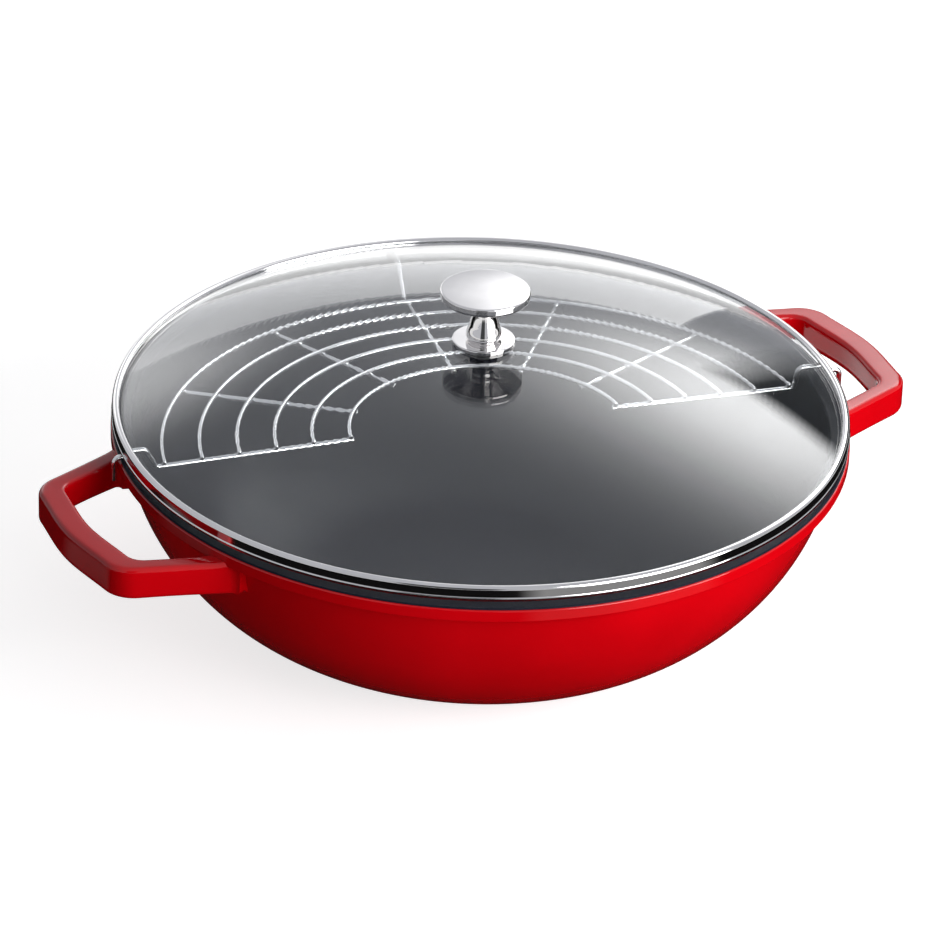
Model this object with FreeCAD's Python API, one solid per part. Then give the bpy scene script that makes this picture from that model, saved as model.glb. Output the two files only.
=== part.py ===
import FreeCAD, Part
import math
import os

# Enamelled cast-iron wok with a glass lid and a wire rack that hooks over its rim.
# Millimetres, +Z up, origin at the centre of the flat base, loop handles along X.

# --- wok casting -------------------------------------------------------------------------
base_radius = 79.0            # flat that stands on the hob
base_edge_round = 14.0        # blend from the flat into the wall
floor_thickness = 5.0
floor_round = 80.0            # inside, blend from the floor into the wall
wall_thickness = 4.5
wall_arc_radius = 98.0        # outer wall, one arc from the flat to the lip
wall_top_radius = 150.0       # outside of the wall just under the lip
lip_bottom_z = 79.0
lip_height = 6.5
lip_overhang = 5.5            # lip proud of the wall
lip_edge_round = 0.7
lip_under_slope = 0.22        # rise of the lip's underside per mm of overhang
rim_ledge = 0.7               # lip left red outside the black rim band
enamel_thickness = 0.5        # lining inside the bowl
enamel_wall_gap = 0.15        # lining to the iron wall; it rests on the floor and on the rim
rim_band_thickness = 0.7      # lining where it turns over the rim
rim_band_round = 0.45

# --- loop handles ------------------------------------------------------------------------
handle_length = 37.9          # outermost point of each loop, from the lip's outer face
handle_bow = 3.4              # how far the bar's ends fall back from its middle
handle_bow_at = 30.0          # half the bar's length
handle_bar_width = 11.8
handle_arm_station = 4.5      # from the lip's outer face to where the arm's place is given
handle_arm_offset = 48.8      # outer side of the arm from the X axis at that station
handle_arm_slope = 0.34       # arms close in towards the bar
handle_arm_width = 9.2
handle_outer_corner = 14.0
handle_inner_corner = 8.0
handle_root_flare = 5.0       # plan fillet where an arm's outer side meets the bowl
handle_gap_fillet = 2.2       # and where its inner side does
handle_thickness = 14.4
handle_drop = 4.0             # top of the handle below the top of the lip
handle_top_round = 2.2
handle_bottom_round = 2.8     # outer side
handle_grip_round = 4.8       # underneath, on the finger gap's side

# --- wire rack ---------------------------------------------------------------------------
arc_wire = 2.0                # wire diameters
frame_wire = 2.4
arc_count = 6
arc_wall_margin = 11.3        # outer arc's radius, less than that of the outer face of the wall
arc_spacing = 15.9            # step in radius from one arc to the next
arc_shift_x = -2.2            # centre of the outer arc from the inner arc's; the arcs between
arc_shift_y = -12.2           # share it evenly
weld_sink = 0.15              # how far crossing wires sink into each other at a weld
rack_centre_x = 4.4
rack_centre_y = -0.6
rack_below_rim = 5.2          # arcs' plane at the rack's centre, below the rim's top
rack_yaw = -11.15             # degrees, middle of the rack from +Y
rack_tilt = 1.5               # degrees, rear of the rack hangs lower
end_bar_offset_inner = 9.3    # bar's distance from the rack's centre line at the inner arc
end_bar_offset_outer = 6.2    # and at the outer arc
end_bar_overhang = 1.5        # bar past the inner arc
spoke_count = 5
spoke_origin_x = 2.0          # point that the spokes' lines meet at
spoke_origin_y = 4.6
spoke_middle_angle = 89.6     # degrees from the rack's own X axis
spoke_step = 30.7
spoke_overhang = 1.0          # spoke past the first and last arc
arc_end_overhang = 1.7        # arc past the middle of the end bar
hook_bend_radius = 2.6
hook_seat_gap = 0.3           # wire over the rim, and lid over the wire
hook_shoulder = 2.2           # top of the hook starts this far inside the rim's inner edge
hook_run_left = 3.5           # straight run past the outer arc before the climb to the rim
hook_run_right = 2.7
hook_run_rear = 8.0
hook_leg_drop = 10.5          # outer leg, from the top of the hook to its tip
hook_leg_gap_left = 1.0       # outer leg from the lip; the rack sits slid to the right
hook_leg_gap_right = 6.5
hook_leg_gap_rear = 2.0

# --- lid ---------------------------------------------------------------------------------
band_lip_inset = 0.2          # outermost of the band inside the outer face of the lip
glass_thickness = 4.0
glass_edge_inset = 1.3        # edge of the glass inside the outermost of the band
glass_hole_radius = 4.2
dome_rise = 30.7              # apex above the place where the bead lands on the glass
band_sheet = 0.8
band_bead_radius = 1.65       # half-round bead that stands on the glass's edge
band_glass_gap = 0.03         # bead to glass
band_height = 5.1             # bottom edge to the place where the bead lands on the glass
band_hem_height = 2.2         # rolled hem along the bottom edge
band_hem_proud = 0.3          # how far the hem bulges past the face
band_bottom_round = 0.9
band_foot = 2.2               # width of the foot that turns inward under the glass's edge
seam_angle = 95.0             # degrees, butt seam at the rear
seam_width = 0.3
seam_depth = 0.35

upper_gasket_radius = 10.5
upper_gasket_thickness = 0.5
escutcheon_radius = 13.2
escutcheon_thickness = 1.0
escutcheon_round = 0.4
escutcheon_rim_width = 1.4    # its edge turns down round the gasket
escutcheon_rim_gap = 0.05     # and stops just short of the glass
knob_cap_radius = 18.9
knob_cap_band = 3.9           # height of the cap's edge
knob_cap_crown = 0.9          # top of the cap above that edge
knob_underside = 18.9         # underside of the cap above the knob's foot
knob_cap_lower_round = 1.3
knob_cap_upper_round = 0.8
knob_foot_radius = 6.9
knob_foot_round = 0.4
knob_bulge_radius = 7.6
knob_bulge_height = 2.4       # widest part of the foot, above the escutcheon
knob_neck_radius = 4.6
knob_bore_depth = 13.0
screw_radius = 2.5
screw_clearance = 0.15        # screw in every hole it passes
screw_head_radius = 4.8
screw_head_height = 2.8
screw_recess_width = 1.1
screw_recess_depth = 1.5
lower_gasket_radius = 9.6
lower_gasket_thickness = 1.5
sleeve_clearance = 0.15       # gasket's sleeve in the glass's hole
washer_radius = 8.0
washer_thickness = 1.0

# --- levels that the pieces share ---------------------------------------------------------
lip_top_z = lip_bottom_z + lip_height
lip_outer_radius = wall_top_radius + lip_overhang
handle_reach = lip_outer_radius + handle_length
handle_arm_at = lip_outer_radius + handle_arm_station
arc_outer_radius = wall_top_radius - arc_wall_margin
band_outer_radius = lip_outer_radius - band_lip_inset
glass_edge_radius = band_outer_radius - glass_edge_inset
dome_rise_radius = band_outer_radius - band_hem_proud - 2 * band_bead_radius
rim_top_z = lip_top_z + rim_band_thickness
hook_top_z = rim_top_z + hook_seat_gap + frame_wire / 2
band_bottom_z = hook_top_z + frame_wire / 2 + hook_seat_gap
dome_base_z = band_bottom_z + band_height
dome_apex_z = dome_base_z + dome_rise
dome_radius = (dome_rise_radius ** 2 + dome_rise ** 2) / (2 * dome_rise)
dome_centre_z = dome_apex_z - dome_radius

Z_AXIS = FreeCAD.Vector(0, 0, 1)
ORIGIN = FreeCAD.Vector(0, 0, 0)


# --- small geometry helpers ---------------------------------------------------------------
def rz(radius, z):
    """A point of a section that is later turned about Z."""
    return FreeCAD.Vector(radius, 0, z)


def line(a, b):
    return Part.LineSegment(a, b).toShape()


def arc(a, middle, b):
    return Part.Arc(a, middle, b).toShape()


def arc_about(centre, a, b):
    """The short arc from a to b about a centre, in the XZ plane or in a level plane."""
    radius = (a - centre).Length
    middle = (a - centre).normalize() + (b - centre).normalize()
    return arc(a, centre + middle.normalize() * radius, b)


def turned(edges):
    """Solid made by turning a closed section about Z."""
    face = Part.Face(Part.Wire(Part.__sortEdges__(edges)))
    solid = face.revolve(ORIGIN, Z_AXIS, 360)
    return solid if solid.ShapeType == "Solid" else Part.Solid(solid.Shells[0])


def rounded_path(corners, closed=True):
    """Edges through (point, corner radius) pairs; radius 0 leaves a corner sharp."""
    count = len(corners)
    starts, ends, edges = [], [], []
    for i, (point, radius) in enumerate(corners):
        if radius <= 0:
            starts.append(point)
            ends.append(point)
            continue
        back = (corners[i - 1][0] - point).normalize()
        ahead = (corners[(i + 1) % count][0] - point).normalize()
        start, end, bend = corner_arc(point, back, ahead, radius)
        starts.append(start)
        ends.append(end)
        edges.append(bend)
    for i in range(count if closed else count - 1):
        following = starts[(i + 1) % count]
        if (following - ends[i]).Length > 1e-6:
            edges.append(line(ends[i], following))
    return edges


def corner_arc(point, back, ahead, radius):
    """Start, end and edge of the arc that rounds a corner between two unit directions."""
    half = back.getAngle(ahead) / 2
    reach = radius / math.tan(half)
    centre = point + (back + ahead).normalize() * (radius / math.sin(half))
    start, end = point + back * reach, point + ahead * reach
    return start, end, arc_about(centre, start, end)


def bent_rod(points, diameter, bend_radius):
    """Round rod along a path of straight runs with a tangent bend at each inner point."""
    edges = []
    previous = points[0]
    for i in range(1, len(points) - 1):
        back = (points[i - 1] - points[i]).normalize()
        ahead = (points[i + 1] - points[i]).normalize()
        start, end, bend = corner_arc(points[i], back, ahead, bend_radius)
        edges += [line(previous, start), bend]
        previous = end
    edges.append(line(previous, points[-1]))
    direction = (points[1] - points[0]).normalize()
    section = Part.Wire([Part.makeCircle(diameter / 2, points[0], direction)])
    return Part.Wire(edges).makePipeShell([section], True, False)


def intersection_height(radius, sphere_radius, centre_z):
    """Height of a sphere centred on the axis, at a distance from the axis."""
    return centre_z + math.sqrt(sphere_radius ** 2 - radius ** 2)


# --- wok casting --------------------------------------------------------------------------
def wall_centre():
    """Centre of the wall's arc, in section."""
    foot = rz(base_radius, 0)
    top = rz(wall_top_radius, lip_bottom_z)
    chord = top - foot
    inward = FreeCAD.Vector(-chord.z, 0, chord.x).normalize()
    rise = math.sqrt(wall_arc_radius ** 2 - (chord.Length / 2) ** 2)
    return (foot + top) * 0.5 + inward * rise


def wall_radius_at(z, inset):
    """Distance of the wall's face from the axis, a given way inside its outer face."""
    centre = wall_centre()
    return centre.x + math.sqrt((wall_arc_radius - inset) ** 2 - (centre.z - z) ** 2)


def wall_arc(inset, low_z, high_z):
    """The wall's arc between two heights, as an edge that runs upwards."""
    centre = wall_centre()
    low = rz(wall_radius_at(low_z, inset), low_z)
    high = rz(wall_radius_at(high_z, inset), high_z)
    return arc_about(centre, low, high)


def bowl_outside():
    """Solid bowl with its lip, before it is hollowed."""
    centre = wall_centre()
    rise = centre.z - base_edge_round
    blend_x = centre.x + math.sqrt((wall_arc_radius - base_edge_round) ** 2 - rise ** 2)
    blend_centre = rz(blend_x, base_edge_round)
    blend_start = rz(blend_x, 0)
    blend_end = centre + (blend_centre - centre).normalize() * wall_arc_radius
    wall_top = rz(wall_top_radius, lip_bottom_z)
    lip_under = rz(lip_outer_radius, lip_bottom_z + lip_overhang * lip_under_slope)
    lip_top = rz(lip_outer_radius, lip_top_z)
    section = [line(ORIGIN, blend_start), arc_about(blend_centre, blend_start, blend_end),
               arc_about(centre, blend_end, wall_top)]
    section += rounded_path([(wall_top, 0), (lip_under, lip_edge_round),
                             (lip_top, lip_edge_round), (rz(0, lip_top_z), 0), (ORIGIN, 0)],
                            closed=False)
    return turned(section)


def floor_and_wall(inset, floor_z, top_z, blend):
    """Inside of the bowl in section: floor, the blend's arc and the wall's arc."""
    centre = wall_centre()
    rise = centre.z - floor_z - blend
    blend_x = centre.x + math.sqrt((wall_arc_radius - inset - blend) ** 2 - rise ** 2)
    blend_centre = rz(blend_x, floor_z + blend)
    start = rz(blend_x, floor_z)
    end = centre + (blend_centre - centre).normalize() * (wall_arc_radius - inset)
    return [line(rz(0, floor_z), start), arc_about(blend_centre, start, end),
            wall_arc(inset, end.z, top_z)]


def cavity(inset, floor_z, top_z):
    """Solid that fills the bowl: floor, wall arc, open top carried up past the rim."""
    top = rz(wall_radius_at(top_z, inset), top_z)
    return turned(floor_and_wall(inset, floor_z, top_z, floor_round)
                  + [line(top, rz(0, top_z)), line(rz(0, top_z), rz(0, floor_z))])


def plan(x, y):
    return FreeCAD.Vector(x, y, 0)


def root_fillet(point, direction, side, body_radius, fillet_radius):
    """Plan fillet between a straight arm face and the round body.

    Returns the tangent point on the body, a point inside the arc and the tangent point on the
    arm. side is +1 or -1: the side of the line, seen along direction, where the fillet lies.
    """
    normal = plan(-direction.y, direction.x) * side
    shifted = point + normal * fillet_radius
    reach = body_radius + fillet_radius
    along = shifted.dot(direction)
    step = -along + math.sqrt(along ** 2 - shifted.dot(shifted) + reach ** 2)
    centre = shifted + direction * step
    on_arm = centre - normal * fillet_radius
    on_body = centre * (body_radius / reach)
    middle = (on_arm - centre).normalize() + (on_body - centre).normalize()
    return on_body, centre + middle.normalize() * fillet_radius, on_arm


def line_meeting(p, p_direction, q, q_direction):
    """Where two plan lines cross."""
    cross = p_direction.x * q_direction.y - p_direction.y * q_direction.x
    offset = q - p
    step = (offset.x * q_direction.y - offset.y * q_direction.x) / cross
    return p + p_direction * step


def handle_plan(inset_bar, inset_arm, corner_radius, flare_side, flare_radius):
    """Closed plan loop of a handle face: the outside, or the finger gap."""
    bar_middle = plan(handle_reach - inset_bar, 0)
    bar_end = plan(handle_reach - inset_bar - handle_bow, handle_bow_at)
    slope = plan(1, -handle_arm_slope).normalize()
    arm_point = plan(handle_arm_at, handle_arm_offset - inset_arm)
    on_body, bend, on_arm = root_fillet(arm_point, slope, flare_side,
                                        wall_top_radius + lip_overhang / 2, flare_radius)
    buried = on_body * ((wall_top_radius - 2 * wall_thickness) / on_body.Length)
    towards_bar = (bar_middle - bar_end).normalize()
    corner = line_meeting(arm_point, slope, bar_end, towards_bar)
    start, end, bend_edge = corner_arc(corner, slope * -1, towards_bar, corner_radius)
    half = [line(buried, on_body), arc(on_body, bend, on_arm), line(on_arm, start), bend_edge]
    other = [edge.mirror(ORIGIN, FreeCAD.Vector(0, 1, 0)) for edge in half]
    mirrored_end = plan(end.x, -end.y)
    bar = Part.BSplineCurve()
    bar.interpolate(Points=[end, bar_middle, mirrored_end],
                    Tangents=[towards_bar, plan(0, -1), plan(-towards_bar.x, towards_bar.y)],
                    TangentFlags=[True, True, True])
    return half + other + [bar.toShape(), line(plan(buried.x, -buried.y), buried)]


def loop_handle():
    """One loop handle on +X, its arms buried in the wall."""
    top_z = lip_top_z - handle_drop
    lift = FreeCAD.Vector(0, 0, top_z - handle_thickness)

    def prism(edges):
        face = Part.Face(Part.Wire(Part.__sortEdges__(edges)))
        solid = face.extrude(FreeCAD.Vector(0, 0, handle_thickness))
        solid.translate(lift)
        return solid

    outside = prism(handle_plan(0, 0, handle_outer_corner, 1, handle_root_flare))
    gap = prism(handle_plan(handle_bar_width, handle_arm_width, handle_inner_corner, -1,
                            handle_gap_fillet))
    low_z = top_z - handle_thickness
    outside = outside.makeFillet(handle_bottom_round, level_edges(outside, low_z))
    handle = outside.cut(gap)
    handle = handle.makeFillet(handle_top_round, level_edges(handle, top_z))
    grip = [edge for edge in level_edges(handle, low_z) if edge_inside_gap(edge)]
    return handle.makeFillet(handle_grip_round, grip)


def level_edges(solid, level):
    """Edges at one height, outside the bowl's wall."""
    return [edge for edge in solid.Edges
            if abs(edge.BoundBox.ZMin - level) < 1e-4 and abs(edge.BoundBox.ZMax - level) < 1e-4
            and edge_outside(edge, wall_top_radius)]


def edge_inside_gap(edge):
    """True for an edge whose middle lies on the finger gap's side of the middle of the loop."""
    middle = edge.valueAt((edge.FirstParameter + edge.LastParameter) / 2)
    half_width = (handle_arm_offset - handle_arm_width / 2
                  - handle_arm_slope * (middle.x - handle_arm_at))
    return middle.x < handle_reach - handle_bar_width / 2 - handle_bow and abs(middle.y) < half_width


def edge_outside(edge, radius):
    """True for an edge whose middle lies outside a radius about Z."""
    parameter = (edge.FirstParameter + edge.LastParameter) / 2
    middle = edge.valueAt(parameter)
    return math.hypot(middle.x, middle.y) > radius


def wok_casting():
    casting = bowl_outside()
    right = loop_handle()
    left = right.copy()
    left.rotate(ORIGIN, Z_AXIS, 180)
    casting = casting.multiFuse([right, left]).removeSplitter()
    return casting.cut(cavity(wall_thickness, floor_thickness, lip_top_z + lip_height))


def inner_enamel():
    """Lining of the bowl, turned over the rim as a flat black band."""
    band_outer = lip_outer_radius - rim_ledge
    inner_low = wall_thickness + enamel_wall_gap
    inner_high = wall_thickness + enamel_thickness
    floor_top = floor_thickness + enamel_thickness
    rim_inner = wall_radius_at(rim_top_z, inner_high)
    section = floor_and_wall(inner_low, floor_thickness, lip_top_z, floor_round - enamel_wall_gap)
    section += floor_and_wall(inner_high, floor_top, rim_top_z - rim_band_round,
                              floor_round - enamel_thickness)
    section += [line(rz(wall_radius_at(lip_top_z, inner_low), lip_top_z), rz(band_outer, lip_top_z)),
                line(rz(0, floor_thickness), rz(0, floor_top))]
    low = rz(wall_radius_at(rim_top_z - rim_band_round, inner_high), rim_top_z - rim_band_round)
    inner_top = rz(rim_inner + rim_band_round, rim_top_z)
    outer_top = rz(band_outer - rim_band_round, rim_top_z)
    outer_low = rz(band_outer, rim_top_z - rim_band_round)
    section += [line(low, inner_top), line(inner_top, outer_top),
                arc_about(rz(outer_top.x, outer_low.z), outer_top, outer_low),
                line(outer_low, rz(band_outer, lip_top_z))]
    return turned(section)


# --- wire rack ----------------------------------------------------------------------------
def rack_placement():
    """From the rack's own frame (arcs in its XY plane) to the wok's."""
    centre = FreeCAD.Vector(rack_centre_x, rack_centre_y, rim_top_z - rack_below_rim)
    yaw = FreeCAD.Rotation(Z_AXIS, rack_yaw)
    tilt = FreeCAD.Rotation(FreeCAD.Vector(1, 0, 0), -rack_tilt)
    return FreeCAD.Placement(centre, yaw.multiply(tilt))


def arc_radius(index):
    return arc_outer_radius - index * arc_spacing


def end_bar_offset(x):
    """Distance of the end bars from the rack's centre line, at a distance along it."""
    inner, outer = arc_radius(arc_count - 1), arc_radius(0)
    share = (abs(x) - inner) / (outer - inner)
    return end_bar_offset_inner + share * (end_bar_offset_outer - end_bar_offset_inner)


def arc_centre(index):
    """Centre of an arc, in the rack's plane."""
    share = (arc_count - 1 - index) / (arc_count - 1)
    return plan(arc_shift_x * share, arc_shift_y * share)


def bar_crossing(index, side):
    """Where an end bar crosses an arc, in the rack's plane."""
    centre, radius = arc_centre(index), arc_radius(index)
    x = centre.x + side * radius
    for _ in range(8):
        across = end_bar_offset(x) - centre.y
        x = centre.x + side * math.sqrt(radius ** 2 - across ** 2)
    return plan(x, end_bar_offset(x))


def on_rack(point):
    """A plan point at the level of the bars and spokes, under the arcs, in the wok's frame."""
    level = -(arc_wire + frame_wire) / 2 + weld_sink
    return rack_placement().multVec(FreeCAD.Vector(point.x, point.y, level))


def rack_arc(index):
    centre, radius = arc_centre(index), arc_radius(index)
    right, left = [bar_crossing(index, side) - centre for side in (1, -1)]
    past = math.degrees(arc_end_overhang / radius)
    start = math.degrees(math.atan2(right.y, right.x)) - past
    sweep = math.degrees(math.atan2(left.y, left.x)) + past - start
    section = Part.Face(Part.Wire([Part.makeCircle(arc_wire / 2, FreeCAD.Vector(radius, 0, 0),
                                                   FreeCAD.Vector(0, 1, 0))]))
    section.rotate(ORIGIN, Z_AXIS, start)
    wire = section.revolve(ORIGIN, Z_AXIS, sweep)
    wire.translate(centre)
    wire.Placement = rack_placement().multiply(wire.Placement)
    return wire


def hook_points(inner_end, crossing, run_past, leg_gap):
    """Path of a wire that leaves the rack and hooks over the rim.

    The wire runs straight from inner_end, passes under the outer arc at crossing and runs on by
    run_past. Then it climbs to the rim, crosses it level and turns down outside the lip.
    """
    heading = plan(crossing.x - inner_end.x, crossing.y - inner_end.y).normalize()
    start = plan(inner_end.x, inner_end.y)
    along = start.dot(heading)
    offset = start.dot(start) - along ** 2

    def at_radius(radius, z):
        point = start + heading * (math.sqrt(radius ** 2 - offset) - along)
        return FreeCAD.Vector(point.x, point.y, z)

    rim_inner = wall_radius_at(rim_top_z, wall_thickness + enamel_thickness)
    leg = lip_outer_radius + leg_gap + frame_wire / 2
    climb_start = crossing + (crossing - inner_end).normalize() * run_past
    return [inner_end, climb_start, at_radius(rim_inner - hook_shoulder, hook_top_z),
            at_radius(leg, hook_top_z), at_radius(leg, hook_top_z - hook_leg_drop)]


def rack_end_bar(side, run_past, leg_gap):
    """End bar with its rim hook; side is +1 for the right, -1 for the left."""
    inner_x = bar_crossing(arc_count - 1, side).x - side * end_bar_overhang
    inner = on_rack(plan(inner_x, end_bar_offset(inner_x)))
    outer = on_rack(bar_crossing(0, side))
    return bent_rod(hook_points(inner, outer, run_past, leg_gap), frame_wire, hook_bend_radius)


def rack_spoke(index):
    """Cross wire under the arcs; the middle one runs on and hooks over the rim."""
    angle = math.radians(spoke_middle_angle + (index - (spoke_count - 1) / 2) * spoke_step)
    origin, heading = plan(spoke_origin_x, spoke_origin_y), plan(math.cos(angle), math.sin(angle))

    def past_arc(number, overhang):
        centre = arc_centre(number) - origin
        along = centre.dot(heading)
        reach = along + math.sqrt(along ** 2 - centre.dot(centre) + arc_radius(number) ** 2)
        return on_rack(origin + heading * (reach + overhang))

    inner_end = past_arc(arc_count - 1, -spoke_overhang)
    if index == (spoke_count - 1) // 2:
        points = hook_points(inner_end, past_arc(0, 0), hook_run_rear, hook_leg_gap_rear)
        return bent_rod(points, frame_wire, hook_bend_radius)
    return bent_rod([inner_end, past_arc(0, spoke_overhang)], frame_wire, hook_bend_radius)


# --- lid ----------------------------------------------------------------------------------
def dome_z(radius, depth=0.0):
    """Height of the glass's outer face, or of a face a given depth inside it."""
    return dome_centre_z + math.sqrt((dome_radius - depth) ** 2 - radius ** 2)


def lid_glass():
    inner_radius = dome_radius - glass_thickness
    centre = rz(0, dome_centre_z)
    outer_hole = rz(glass_hole_radius, dome_z(glass_hole_radius))
    outer_edge = rz(glass_edge_radius, dome_z(glass_edge_radius))
    inner_hole = rz(glass_hole_radius, dome_z(glass_hole_radius, glass_thickness))
    inner_edge_r = glass_edge_radius * inner_radius / dome_radius
    inner_edge = rz(inner_edge_r, dome_z(inner_edge_r, glass_thickness))
    return turned([arc_about(centre, outer_hole, outer_edge), line(outer_edge, inner_edge),
                   arc_about(centre, inner_edge, inner_hole), line(inner_hole, outer_hole)])


def lid_rim_band():
    """Rolled steel band: bead on the glass's edge, upright face, hem, and a foot turned in."""
    face_r = band_outer_radius - band_hem_proud
    foot_r = face_r - band_foot
    inner_round = band_bottom_round - band_sheet
    lap_r = dome_rise_radius
    bead_r = lap_r + band_bead_radius
    bead_z = dome_z(lap_r) + band_glass_gap
    inside_r = face_r - band_sheet
    hem_z = band_bottom_z + band_hem_height
    low_z = band_bottom_z + band_bottom_round
    floor_z = band_bottom_z + band_sheet
    hem = arc(rz(face_r, hem_z), rz(band_outer_radius, (hem_z + low_z) / 2), rz(face_r, low_z))
    section = [arc(rz(lap_r, bead_z), rz(bead_r, bead_z + band_bead_radius), rz(face_r, bead_z)),
               line(rz(face_r, bead_z), rz(face_r, hem_z)), hem,
               arc_about(rz(face_r - band_bottom_round, low_z), rz(face_r, low_z),
                         rz(face_r - band_bottom_round, band_bottom_z)),
               line(rz(face_r - band_bottom_round, band_bottom_z), rz(foot_r, band_bottom_z)),
               line(rz(foot_r, band_bottom_z), rz(foot_r, floor_z)),
               line(rz(foot_r, floor_z), rz(inside_r - inner_round, floor_z)),
               arc_about(rz(inside_r - inner_round, floor_z + inner_round),
                         rz(inside_r - inner_round, floor_z), rz(inside_r, floor_z + inner_round)),
               line(rz(inside_r, floor_z + inner_round), rz(inside_r, bead_z)),
               arc(rz(inside_r, bead_z), rz(bead_r, bead_z + band_bead_radius - band_sheet),
                   rz(lap_r + band_sheet, bead_z)),
               line(rz(lap_r + band_sheet, bead_z), rz(lap_r, bead_z))]
    band = turned(section)
    groove = Part.makeBox(2 * seam_depth, seam_width, bead_z - hem_z,
                          FreeCAD.Vector(face_r - seam_depth, -seam_width / 2, hem_z))
    groove.rotate(ORIGIN, Z_AXIS, seam_angle)
    return band.cut(groove)


def stack_levels():
    """Heights of the upper gasket's top, the escutcheon's top and the lower gasket's bottom."""
    gasket_top = dome_apex_z + upper_gasket_thickness
    escutcheon_top = gasket_top + escutcheon_thickness
    glass_under = dome_apex_z - glass_thickness
    lower_gasket_bottom = glass_under - lower_gasket_thickness
    return gasket_top, escutcheon_top, lower_gasket_bottom


def upper_gasket():
    gasket_top, _, _ = stack_levels()
    bottom = dome_z(upper_gasket_radius)
    centre = rz(0, dome_centre_z)
    hole = screw_radius + screw_clearance
    low_in = rz(hole, dome_z(hole))
    low_out = rz(upper_gasket_radius, bottom)
    return turned([arc_about(centre, low_in, low_out), line(low_out, rz(low_out.x, gasket_top)),
                   line(rz(low_out.x, gasket_top), rz(hole, gasket_top)),
                   line(rz(hole, gasket_top), low_in)])


def knob_escutcheon():
    gasket_top, top, _ = stack_levels()
    hole = screw_radius + screw_clearance
    rim = escutcheon_radius - escutcheon_rim_width
    low = dome_z(rim) + escutcheon_rim_gap
    return turned(rounded_path([(rz(hole, gasket_top), 0), (rz(rim, gasket_top), 0),
                                (rz(rim, low), 0), (rz(escutcheon_radius, low), 0),
                                (rz(escutcheon_radius, top), escutcheon_round),
                                (rz(hole, top), 0)]))


def lid_knob():
    """Turned knob: foot with a small bulge, waisted neck, broad cap with a domed top."""
    _, foot_z, _ = stack_levels()
    under_z = foot_z + knob_underside
    edge_top_z = under_z + knob_cap_band
    under_r = knob_cap_radius - knob_cap_lower_round
    crown_r = knob_cap_radius - knob_cap_upper_round
    crown_radius = (crown_r ** 2 + knob_cap_crown ** 2) / (2 * knob_cap_crown)
    crown_top = rz(0, edge_top_z + knob_cap_crown)
    foot_in = rz(knob_foot_radius - knob_foot_round, foot_z)
    foot_out = rz(knob_foot_radius, foot_z + knob_foot_round)
    neck = Part.BSplineCurve()
    neck.interpolate([foot_out, rz(knob_bulge_radius, foot_z + knob_bulge_height),
                      rz(knob_neck_radius + 1.8, foot_z + knob_underside * 0.36),
                      rz(knob_neck_radius + 0.6, foot_z + knob_underside * 0.62),
                      rz(knob_neck_radius + 0.2, foot_z + knob_underside * 0.8),
                      rz(knob_neck_radius + 2.6, foot_z + knob_underside * 0.93),
                      rz(under_r, under_z)])
    bore_top = foot_z + knob_bore_depth
    edge = rounded_path([(rz(under_r, under_z), 0),
                         (rz(knob_cap_radius, under_z), knob_cap_lower_round),
                         (rz(knob_cap_radius, edge_top_z), knob_cap_upper_round),
                         (rz(crown_r, edge_top_z), 0)], closed=False)
    return turned([line(rz(screw_radius, foot_z), foot_in), line(foot_in, foot_out),
                   neck.toShape(),
                   arc_about(rz(0, crown_top.z - crown_radius), rz(crown_r, edge_top_z),
                             crown_top),
                   line(crown_top, rz(0, bore_top)), line(rz(0, bore_top),
                                                          rz(screw_radius, bore_top)),
                   line(rz(screw_radius, bore_top), rz(screw_radius, foot_z))] + edge)


def lower_gasket():
    """Washer under the glass with a sleeve up through the glass's hole."""
    _, _, bottom = stack_levels()
    hole = screw_radius + screw_clearance
    sleeve = glass_hole_radius - sleeve_clearance
    centre = rz(0, dome_centre_z)
    under = dome_z(sleeve, glass_thickness)
    edge = rz(lower_gasket_radius, dome_z(lower_gasket_radius, glass_thickness))
    sleeve_top = dome_z(sleeve)
    return turned([line(rz(hole, bottom), rz(lower_gasket_radius, bottom)),
                   line(rz(lower_gasket_radius, bottom), edge),
                   arc_about(centre, edge, rz(sleeve, under)),
                   line(rz(sleeve, under), rz(sleeve, sleeve_top)),
                   line(rz(sleeve, sleeve_top), rz(hole, sleeve_top)),
                   line(rz(hole, sleeve_top), rz(hole, bottom))])


def knob_washer():
    _, _, top = stack_levels()
    hole = screw_radius + screw_clearance
    bottom = top - washer_thickness
    return turned(rounded_path([(rz(hole, bottom), 0), (rz(washer_radius, bottom), 0.25),
                                (rz(washer_radius, top), 0), (rz(hole, top), 0)]))


def knob_screw():
    """Pan-head screw with a cross recess, up through the stack into the knob."""
    _, foot_z, gasket_bottom = stack_levels()
    seat = gasket_bottom - washer_thickness
    head_bottom = seat - screw_head_height
    tip = foot_z + knob_bore_depth - 1.0
    screw = turned(rounded_path([(rz(0, head_bottom), 0),
                                 (rz(screw_head_radius, head_bottom), screw_head_height * 0.6),
                                 (rz(screw_head_radius, seat), 0), (rz(screw_radius, seat), 0),
                                 (rz(screw_radius, tip), 0.5), (rz(0, tip), 0)]))
    for turn in (0, 90):
        slot = Part.makeBox(screw_head_radius, screw_recess_width, screw_recess_depth,
                            FreeCAD.Vector(-screw_head_radius / 2, -screw_recess_width / 2,
                                           head_bottom))
        slot.rotate(ORIGIN, Z_AXIS, turn)
        screw = screw.cut(slot)
    return screw


# --- write one STEP per piece -------------------------------------------------------------
def write(name, shape):
    piece = shape.Solids[0] if len(shape.Solids) == 1 else shape
    piece.exportStep("parts/" + name + ".step")
    print("%-20s %d solid, valid %s, %.0f mm3" % (name, len(shape.Solids), piece.isValid(),
                                                  piece.Volume))


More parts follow.
